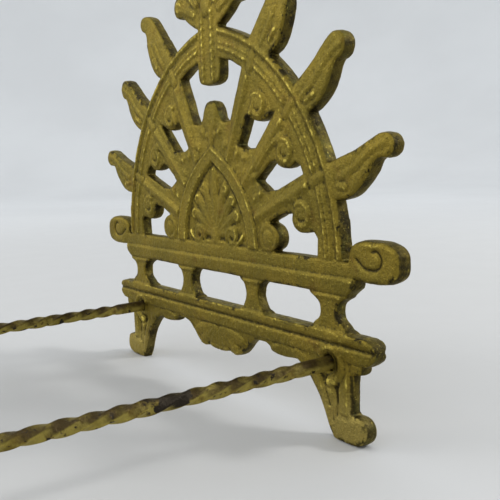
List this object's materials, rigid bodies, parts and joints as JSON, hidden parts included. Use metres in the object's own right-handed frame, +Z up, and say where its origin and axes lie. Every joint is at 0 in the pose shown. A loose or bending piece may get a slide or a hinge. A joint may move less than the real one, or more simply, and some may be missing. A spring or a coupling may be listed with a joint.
{
  "type": "ornamental plate rack",
  "caption": "Free-standing plate rack: pierced fan-shaped cast ends facing each other, held apart by twisted square rods with washers and nuts.",
  "frame": {"origin": "on the surface it stands on, midway between the two end castings and between the two rods", "axes": "+Y along the rods, +X across the castings, +Z up"},
  "size_m": [0.168, 0.2564, 0.1515],
  "materials": {
    "gilt_casting": "satin",
    "gilt_rod": "satin",
    "steel_fasteners": "satin"
  },
  "bodies": {
    "root": {"rear_end_panel": "gilt_casting", "front_end_panel": "gilt_casting", "left_rod": "gilt_rod", "right_rod": "gilt_rod", "rear_left_washer": "steel_fasteners", "rear_right_washer": "steel_fasteners", "front_left_washer": "steel_fasteners", "front_right_washer": "steel_fasteners", "rear_left_nut": "steel_fasteners", "rear_right_nut": "steel_fasteners", "front_left_nut": "steel_fasteners", "front_right_nut": "steel_fasteners"}
  },
  "joints": []
}
